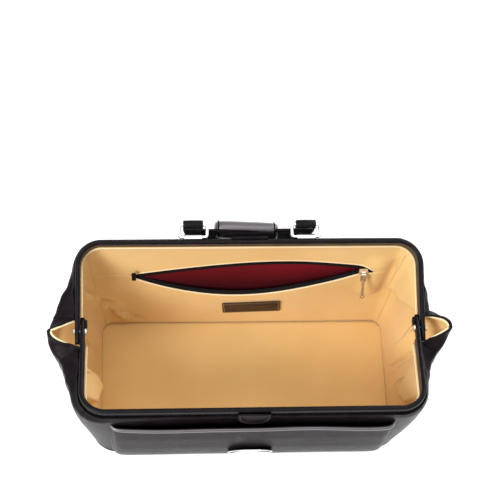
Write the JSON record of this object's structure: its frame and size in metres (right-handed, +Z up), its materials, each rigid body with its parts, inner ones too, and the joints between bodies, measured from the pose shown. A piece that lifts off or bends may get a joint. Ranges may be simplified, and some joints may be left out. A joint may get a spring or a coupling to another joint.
{
  "type": "doctor bag",
  "caption": "Leather doctor bag standing open, with two hinged frame jaws, a ring-mounted strap handle, a front pocket with a push lock and an inner zip pocket.",
  "frame": {"origin": "on the ground under the middle of the base, at the bottom of the centre foot", "axes": "+X along the bag to its right-hand end, -Y towards the front pocket, +Z up"},
  "size_m": [0.4378, 0.2412, 0.2061],
  "materials": {
    "black_leather": "semi-gloss, fine grain",
    "label_leather": "satin",
    "lining": "matte cotton twill",
    "red_lining": "matte cotton twill",
    "millboard": "matte",
    "nickel": "polished",
    "frame_steel": "brushed"
  },
  "bodies": {
    "bag": {"foot_centre": "nickel", "foot_front_left": "nickel", "foot_front_right": "nickel", "foot_back_left": "nickel", "foot_back_right": "nickel", "base_panel": "black_leather", "base_board": "millboard", "base_lining": "lining", "front_panel": "black_leather", "front_lining": "lining", "back_panel": "black_leather", "back_lining": "lining", "left_gusset": "black_leather", "right_gusset": "black_leather", "left_lining": "lining", "right_lining": "lining", "hinge_pin_left": "nickel", "hinge_pin_right": "nickel", "front_pocket": "black_leather", "pocket_lip": "black_leather", "lock_plate": "nickel", "lock_case": "nickel", "zip_edge_upper": "black_leather", "zip_edge_lower": "black_leather", "pocket_bag": "red_lining", "label_patch": "label_leather"},
    "front_jaw": {"front_frame": "frame_steel", "front_frame_cover": "black_leather", "front_tab": "black_leather"},
    "rear_jaw": {"rear_frame": "frame_steel", "rear_frame_cover": "black_leather", "ring_saddle_left": "nickel", "ring_saddle_right": "nickel", "closing_strap": "black_leather", "strap_hasp": "nickel"},
    "handle_rings": {"ring_left": "nickel", "ring_right": "nickel"},
    "carry_handle": {"handle_strap": "black_leather", "handle_grip": "black_leather"},
    "zip_runner": {"zip_slider": "nickel"},
    "zip_tab": {"zip_pull": "nickel"},
    "push_button": {"lock_button": "nickel"}
  },
  "joints": [
    {"name": "front_jaw_hinge", "type": "hinge", "parent": "bag", "child": "front_jaw", "pos_m": [0, 0, 0.167], "axis": [-1, 0, 0], "range_deg": [0, 80.5]},
    {"name": "rear_jaw_hinge", "type": "hinge", "parent": "bag", "child": "rear_jaw", "pos_m": [0, 0, 0.167], "axis": [1, 0, 0], "range_deg": [0, 68.5]},
    {"name": "ring_swing", "type": "hinge", "parent": "rear_jaw", "child": "handle_rings", "pos_m": [0, 0.09783, 0.19691], "axis": [1, 0, 0], "range_deg": [-3, 35]},
    {"name": "handle_swing", "type": "hinge", "parent": "handle_rings", "child": "carry_handle", "pos_m": [0, 0.11084, 0.20089], "axis": [1, 0, 0], "range_deg": [0, 105]},
    {"name": "zip_slide", "type": "slide", "parent": "bag", "child": "zip_runner", "axis": [-0.9964, 0, -0.0848], "range_m": [0, 0.24]},
    {"name": "pull_swing", "type": "hinge", "parent": "zip_runner", "child": "zip_tab", "pos_m": [0.131, 0.0753, 0.143], "axis": [-1, 0, 0], "range_deg": [0, 100]},
    {"name": "lock_press", "type": "slide", "parent": "bag", "child": "push_button", "axis": [0, 0.9755, 0.2198], "range_m": [0, 0.002]}
  ]
}
